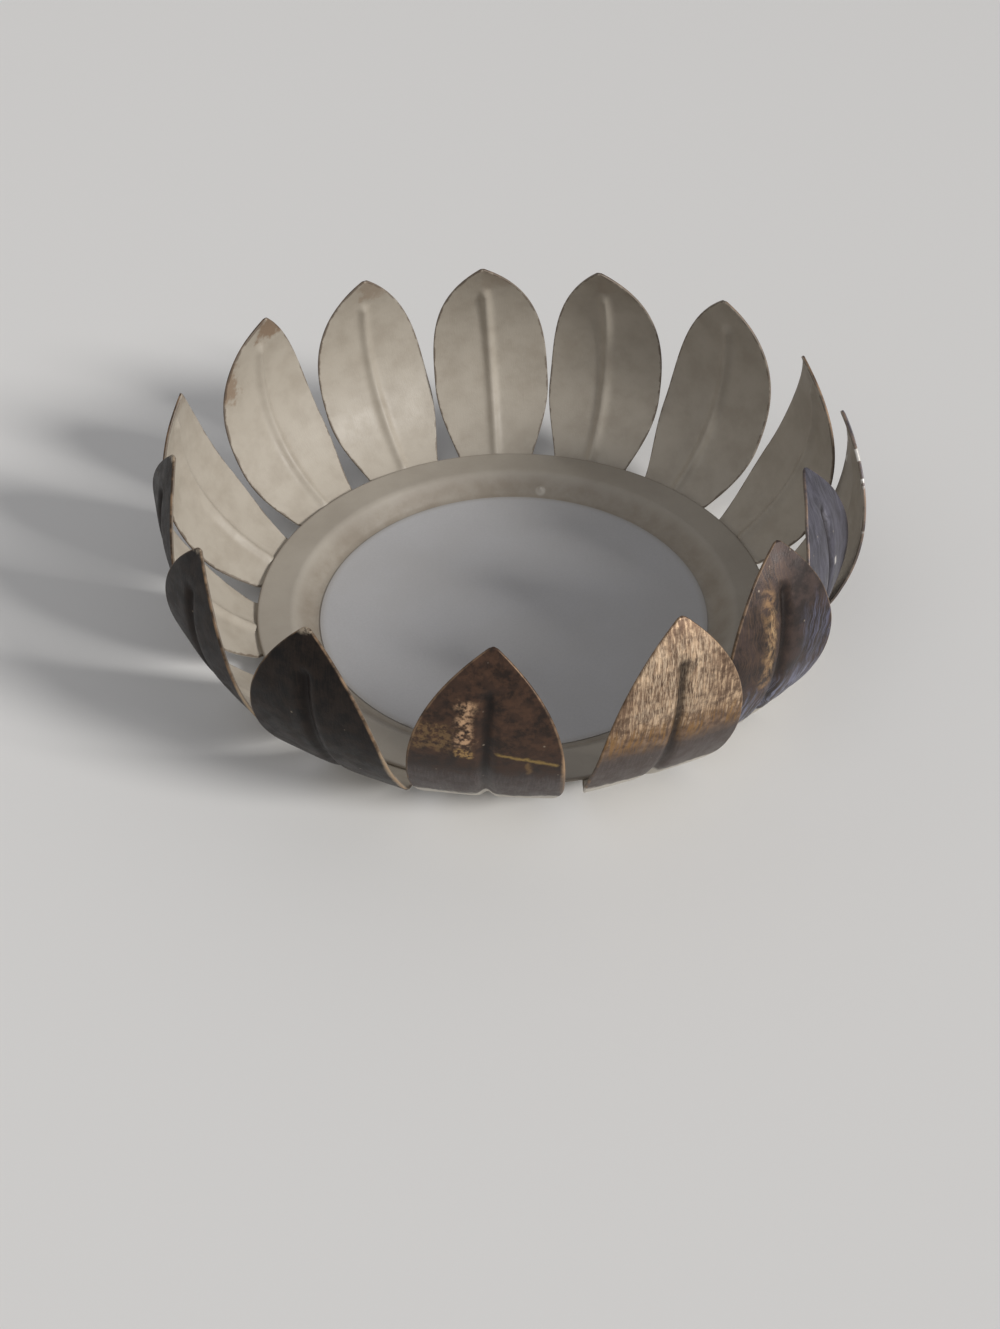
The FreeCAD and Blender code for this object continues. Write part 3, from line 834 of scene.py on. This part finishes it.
# How far up the pale foot reaches on the outside, in mm, where it is more than usual. It is partly
# cream overspray and partly a painted reflection.
SPRAY_AND_SHEEN_REACH = {6: 12.0, 7: 13.0, 8: 12.8}
USUAL_SPRAY_AND_SHEEN_REACH = 9.0
print("kinds of look", len({id(look) for look in LOOKS}), "for", len(LOOKS), "leaves")

# %% [markdown]
# ## The paint of a leaf
# The outside was darkened and wiped with colour, and its edges are worn; painted highlights,
# reflections and shade lie among the wiped places. The inside has the pan's pale paint, a little
# soiled. Two materials on picked faces would also do, but every point of the mesh knows its side,
# so one material blends both round the rounded edge.


# %% Leaf paint
def window_mask(tree, place, window, softness, raggedness, tilt=0.0):
    """The mask of one soft place, given as (left, right, foot, head) in millimetres."""
    left, right, foot, head = window
    return effect(tree, WINDOW, place, Left=left, Right=right, Foot=foot, Head=head,
                  Softness=softness, Raggedness=raggedness, Tilt=tilt)


def shifted(tree, place, layer):
    """The place moved to the layer's own slice of the noise."""
    return work_out_vector(tree, "ADD", place, (0.0, 0.0, LAYER_SLICE * layer))


def strokes(tree, place, fineness, waviness, layer):
    """Where the strokes of one glaze lie."""
    marks = effect(tree, BRUSHING, shifted(tree, place, layer), Fineness=fineness, Waviness=waviness)
    return fade(tree, marks, 0.45, 0.60)


def leaf_material(index):
    """The paint of one leaf: its look outside, soiled pale paint inside, joined at the edge."""
    (deep, light), waviness, metallic, glazes = LOOKS[index]
    material, tree, shader = new_material("leaf_paint_%02d" % (index + 1))
    shader.inputs["Specular IOR Level"].default_value = 0.5 if metallic > 0.3 else 0.2
    across, along = stored(tree, "across"), stored(tree, "along")
    edge, inside = stored(tree, "edge_distance"), stored(tree, "inside")
    flat = add_node(tree, "ShaderNodeCombineXYZ")
    wire(tree, across, flat.inputs["X"])
    wire(tree, along, flat.inputs["Y"])
    flat.inputs["Z"].default_value = LEAF_SLICE * index
    place = flat.outputs["Vector"]

    # Outside: the ground in two tones, then the glazes, the groove, the worn edge and the specks.
    clouds = effect(tree, CLOUDS, place, Size=0.35, Detail=6.0, Roughness=0.62, Low=0.40, High=0.62)
    outside = mix_colours(tree, clouds, colour(*deep), colour(*light))
    for layer, (tint, strength, texture, window, softness, raggedness) in enumerate(glazes):
        mask = window_mask(tree, place, window, softness, raggedness, SLANTED.get((index, layer), 0.0))
        mask = product(tree, mask, strength)
        if texture > 0:
            mask = product(tree, mask, strokes(tree, place, texture, waviness, layer + 1))
        if texture < 0:
            broken = effect(tree, CLOUDS, shifted(tree, place, layer + 1), Size=-texture, Detail=6.0,
                            Roughness=0.62, Low=0.40, High=0.62)
            mask = product(tree, mask, broken)
        outside = mix_colours(tree, mask, outside, colour(*tint))
    beside = work_out(tree, "ABSOLUTE", across)
    groove = product(tree, fade(tree, beside, 1.25, 0.15), fade(tree, along, 10.0, 26.0),
                     fade(tree, along, 40.8, 38.6))
    outside = mix_colours(tree, product(tree, groove, 0.8), outside, GROOVE_DARK)
    patchy = work_out(tree, "MULTIPLY_ADD", clouds, 0.5, 0.1)
    worn_line = product(tree, fade(tree, edge, 0.45, 0.15), patchy)
    outside = mix_colours(tree, worn_line, outside, EDGE_WORN)
    specks = effect(tree, SPECKS, place, Spacing=0.42, Size=0.10, Rarity=0.66)
    outside = mix_colours(tree, product(tree, specks, 0.55), outside, SPECK_PALE)
    # The pale foot of the outside: partly cream overspray, partly a painted reflection of light from below.
    spray_and_sheen = window_mask(tree, place, (-20, 20, -12, SPRAY_AND_SHEEN_REACH.get(index, USUAL_SPRAY_AND_SHEEN_REACH)), 1.6, 5.0)
    outside = mix_colours(tree, product(tree, spray_and_sheen, 0.85), outside, OVERSPRAY_AND_SHEEN)

    # Inside: paint, a little soiled in clouds, rubbed through along the edge, stained at some tips.
    soil = effect(tree, CLOUDS, place, Size=0.16, Detail=5.0, Roughness=0.6, Low=0.35, High=0.72)
    cream = mix_colours(tree, product(tree, soil, 0.55), CREAM, CREAM_WORN)
    if index in STAINS:
        stain = window_mask(tree, place, (-20, 2, 40.0, 60), 2.2, 8.0)
        cream = mix_colours(tree, product(tree, stain, STAINS[index]), cream, TIP_STAIN)
    if index == STAINED_EDGE:
        stain = window_mask(tree, place, (6.5, 20, 30.0, 60), 2.0, 9.0)
        cream = mix_colours(tree, product(tree, stain, 0.6), cream, TIP_STAIN)
    rubbed = work_out(tree, "ADD", edge, product(tree, clouds, 0.35))
    cream = mix_colours(tree, product(tree, fade(tree, rubbed, 0.62, 0.25), 0.7), cream, EDGE_BROWN_WEAR_AND_SHADE)

    side = fade(tree, inside, 0.35, 0.65)
    painted = mix_colours(tree, side, outside, cream)
    # Painted glints: white spots near the edges of one leaf, 28 to 44 mm up, where its outside catches the
    # light.
    if index == GLINTING_LEAF:
        glints = effect(tree, CLOUDS, place, Size=0.3, Detail=3.0, Roughness=0.55, Low=0.50, High=0.53)
        tip = product(tree, fade(tree, along, 28.0, 30.0), fade(tree, along, 44.0, 42.0),
                      fade(tree, edge, 1.7, 1.1))
        painted = mix_colours(tree, product(tree, tip, glints), painted, GLINT_WHITE)
    wire(tree, painted, shader.inputs["Base Color"])
    bare = product(tree, work_out(tree, "SUBTRACT", 1.0, side), metallic)
    bare = product(tree, bare, work_out(tree, "SUBTRACT", 1.0, spray_and_sheen))
    wire(tree, bare, shader.inputs["Metallic"])
    rough = work_out(tree, "MULTIPLY_ADD", side, 0.06, 0.42)
    wire(tree, work_out(tree, "MULTIPLY_ADD", clouds, 0.10, rough), shader.inputs["Roughness"])
    marks = effect(tree, BRUSHING, place, Fineness=1.5, Waviness=waviness)
    grain = effect(tree, CLOUDS, place, Size=2.5, Detail=4.0, Roughness=0.6, Low=0.3, High=0.7)
    first = bump(tree, marks, 0.06, 0.55)
    wire(tree, bump(tree, grain, 0.015, 0.5, first), shader.inputs["Normal"])
    return material


for index, piece in enumerate(leaves):
    piece.data.materials.append(leaf_material(index))
print("leaf materials", len({piece.active_material.name for piece in leaves}))


# %% [markdown]
# ## The paint of the pan, the paper and the solder
# The pan has the same pale paint as the insides, with a ring of painted shade round the well, a rim
# edge darkened partly by dirt and partly by painted shade, and a painted highlight on a drop of
# paint. The paper is plain, with one crease and painted shade at its edge where it meets the wall.
# The solder is dull grey metal. Flat colours would look new, so slow noise ages them.

# %% Pan, label and solder finishes
PAN_PAINT = colour(166, 159, 148)
PAN_SOILED = colour(146, 138, 127)
PAINTED_WELL_SHADE = colour(126, 114, 99)
DROP_HIGHLIGHT = colour(182, 176, 166)
PAPER_DARKER = colour(176, 176, 178)
PAPER_LIGHTER = colour(182, 182, 184)
PAPER_AGED = colour(168, 166, 164)
PAPER_EDGE_SHADE = colour(150, 142, 130)
CREASE_SHADE = colour(132, 126, 118)
SOLDER_BRIGHT = colour(150, 148, 142)
SOLDER_DULL = colour(108, 104, 98)


def distance_from_axis(tree, place):
    """How far a point lies from the pan's axis, in millimetres."""
    return work_out_vector(tree, "LENGTH", work_out_vector(tree, "MULTIPLY", place, (1.0, 1.0, 0.0)))


def pan_material():
    """Pale paint, soiled in slow clouds, with painted shade round the well, a rim edge darkened partly
    by dirt and partly by painted shade, and a painted highlight on the drop.
    """
    material, tree, shader = new_material("pan_greige")
    place = object_place(tree)
    soil = effect(tree, CLOUDS, place, Size=0.07, Detail=6.0, Roughness=0.6, Low=0.3, High=0.75)
    base = mix_colours(tree, product(tree, soil, 0.6), PAN_PAINT, PAN_SOILED)
    radius = distance_from_axis(tree, place)
    # A ring of painted shade round the well, where its floor bends up into the wall and the shoulder.
    uneven = effect(tree, CLOUDS, place, Size=0.25, Detail=4.0, Roughness=0.6, Low=0.3, High=0.7)
    ring = product(tree, fade(tree, radius, 37.8, 38.8), fade(tree, radius, 43.2, 40.5))
    ring = product(tree, ring, work_out(tree, "MULTIPLY_ADD", uneven, 0.35, 0.25))
    base = mix_colours(tree, ring, base, PAINTED_WELL_SHADE)
    # The rim's outer edge is darker: partly dirt, partly painted shade of the gap between the rim and the
    # leaves below it.
    edge = product(tree, fade(tree, radius, 49.3, 49.9), 0.4)
    base = mix_colours(tree, edge, base, EDGE_BROWN_WEAR_AND_SHADE)
    # A painted highlight on the drop of dried paint.
    drop = work_out_vector(tree, "DISTANCE", place, (*DROP_PLACE, PAN_SHEET + DROP_HEIGHT))
    base = mix_colours(tree, fade(tree, drop, 1.3, 0.7), base, DROP_HIGHLIGHT)
    wire(tree, base, shader.inputs["Base Color"])
    fine = effect(tree, CLOUDS, place, Size=1.6, Detail=4.0, Roughness=0.6, Low=0.3, High=0.7)
    wire(tree, work_out(tree, "MULTIPLY_ADD", fine, 0.08, 0.44), shader.inputs["Roughness"])
    wire(tree, bump(tree, fine, 0.02, 0.5), shader.inputs["Normal"])
    return material


def label_material():
    """Bare paper, with one short crease near its front left edge."""
    material, tree, shader = new_material("label_bare_paper")
    place = object_place(tree)
    fibre = effect(tree, CLOUDS, place, Size=2.2, Detail=6.0, Roughness=0.7, Low=0.3, High=0.7)
    base = mix_colours(tree, fibre, PAPER_DARKER, PAPER_LIGHTER)
    aged = effect(tree, CLOUDS, place, Size=0.05, Detail=3.0, Roughness=0.5, Low=0.35, High=0.7)
    base = mix_colours(tree, product(tree, aged, 0.3), base, PAPER_AGED)
    # Painted shade at the paper's edge, where it meets the foot of the well's wall.
    edge_shade = fade(tree, distance_from_axis(tree, place), 36.6, 38.1)
    base = mix_colours(tree, product(tree, edge_shade, 0.3), base, PAPER_EDGE_SHADE)
    crease = add_node(tree, "ShaderNodeMapping", vector_type="TEXTURE")
    wire(tree, place, crease.inputs["Vector"])
    crease.inputs["Location"].default_value = CREASE_PLACE
    crease.inputs["Rotation"].default_value = (0.0, 0.0, math.radians(CREASE_TURN_DEGREES))
    crease.inputs["Scale"].default_value = CREASE_REACH
    fold = fade(tree, work_out_vector(tree, "LENGTH", crease.outputs[0]), 1.0, 0.0)
    base = mix_colours(tree, product(tree, fold, 0.5), base, CREASE_SHADE)
    wire(tree, base, shader.inputs["Base Color"])
    wire(tree, work_out(tree, "MULTIPLY_ADD", fibre, 0.06, 0.58), shader.inputs["Roughness"])
    paper = bump(tree, fibre, 0.01, 0.5)
    wire(tree, bump(tree, fold, 0.2, 0.8, paper), shader.inputs["Normal"])
    return material


def solder_material():
    """Dull metal in two greys."""
    material, tree, shader = new_material("solder_grey")
    place = object_place(tree)
    patch = effect(tree, CLOUDS, place, Size=0.9, Detail=4.0, Roughness=0.6, Low=0.35, High=0.65)
    base = mix_colours(tree, patch, SOLDER_BRIGHT, SOLDER_DULL)
    wire(tree, base, shader.inputs["Base Color"])
    shader.inputs["Metallic"].default_value = 0.8
    wire(tree, work_out(tree, "MULTIPLY_ADD", patch, 0.2, 0.3), shader.inputs["Roughness"])
    wire(tree, bump(tree, patch, 0.05, 0.5), shader.inputs["Normal"])
    return material


pan.data.materials.append(pan_material())
label.data.materials.append(label_material())
solder_finish = solder_material()
for piece in solder:
    piece.data.materials.append(solder_finish)
print("finishes", pan.active_material.name, label.active_material.name, solder_finish.name)

# %% [markdown]
# ## Joining the frame
# Nothing on the cup moves, so every piece rides on the one body and stands for its solid, which is
# then hidden. Parenting by hand would place the pieces too, but would not say what they replace.

# %% Riding and replacing
for index, piece in enumerate(leaves):
    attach(piece, "root")
    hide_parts("petal_%02d" % (index + 1))
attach(pan, "root")
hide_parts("pan")
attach(label, "root")
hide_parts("label")
for piece in solder:
    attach(piece, "root")
    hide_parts("tab_welds")
print("pieces on the body", len(leaves) + len(solder) + 2)

# %% [markdown]
# ## The studio floor
# The cup stands on a plain pale floor. A plane would do, but its corners could come into view, so
# the floor is one very wide disc of matt paint.

# %% Floor
FLOOR_LOOK = colour(205, 204, 202)
FLOOR_PAINT = colour(226, 225, 223)
FLOOR_REACH = 8.0
FLOOR_STEPS = 96


def make_floor():
    """A wide flat disc: one ring of points round the middle, closed by a single face."""
    angle = np.linspace(0, 2 * math.pi, FLOOR_STEPS, endpoint=False)
    ring = np.stack([FLOOR_REACH * np.cos(angle), FLOOR_REACH * np.sin(angle), 0 * angle], axis=-1)
    mesh = bpy.data.meshes.new("floor")
    mesh.from_pydata(ring.tolist(), [], [tuple(range(len(ring)))])
    floor = bpy.data.objects.new("floor", mesh)
    bpy.context.scene.collection.objects.link(floor)
    material, tree, shader = new_material("floor_pale")
    shader.inputs["Base Color"].default_value = FLOOR_PAINT
    shader.inputs["Roughness"].default_value = 0.9
    mesh.materials.append(material)


make_floor()
print("floor across", 2 * FLOOR_REACH, "m")

# %% [markdown]
# ## The light
# The key is a far, even lamp to the front right, so the insides on the left are bright and those
# on the right are in shade. A near lamp would be simpler to aim, but leaves a hot spot on the
# floor. A weak wide lamp fills in, and the air lights the rest and looks like the floor.

# %% Lamps
KEY_TOWARDS = (0.90, -0.48, 0.56)
KEY_SPREAD_DEGREES = 16.0
KEY_STRENGTH = 2.6
KEY_TINT = (1.0, 0.985, 0.965)
FILL_PLACE = (-0.5, -0.7, 1.3)
FILL_AIM = (0, 0, 0.02)
FILL_SIZE = 1.2
FILL_WATTS = 3.0


def hang(data, place, aim):
    """Puts a lamp at a place in metres and turns it to shine on a point."""
    lamp = bpy.data.objects.new(data.name, data)
    bpy.context.scene.collection.objects.link(lamp)
    lamp.location = place
    lamp.rotation_euler = (Vector(aim) - Vector(place)).to_track_quat("-Z", "Y").to_euler()


key = bpy.data.lights.new("key_lamp", "SUN")
key.angle = math.radians(KEY_SPREAD_DEGREES)
key.energy = KEY_STRENGTH
key.color = KEY_TINT
hang(key, KEY_TOWARDS, (0, 0, 0))
fill = bpy.data.lights.new("fill_lamp", "AREA")
fill.shape = "SQUARE"
fill.size = FILL_SIZE
fill.energy = FILL_WATTS
hang(fill, FILL_PLACE, FILL_AIM)
print("lamps", [lamp.name for lamp in bpy.data.lights])

# %% The air
AIR_LOOK = colour(235, 235, 238)
AIR_STRENGTH = 0.36

world = bpy.data.worlds.new("studio_air")
bpy.context.scene.world = world
world.use_nodes = True
air = world.node_tree
air.nodes.clear()
lit = add_node(air, "ShaderNodeBackground", inputs={"Color": AIR_LOOK, "Strength": AIR_STRENGTH})
seen = add_node(air, "ShaderNodeBackground", inputs={"Color": FLOOR_LOOK, "Strength": 1.0})
either = air.nodes.new("ShaderNodeMixShader")
wire(air, air.nodes.new("ShaderNodeLightPath").outputs["Is Camera Ray"], either.inputs[0])
wire(air, lit.outputs[0], either.inputs[1])
wire(air, seen.outputs[0], either.inputs[2])
wire(air, either.outputs[0], air.nodes.new("ShaderNodeOutputWorld").inputs["Surface"])
bpy.context.scene.view_settings.view_transform = "Standard"
print("air strength", AIR_STRENGTH)
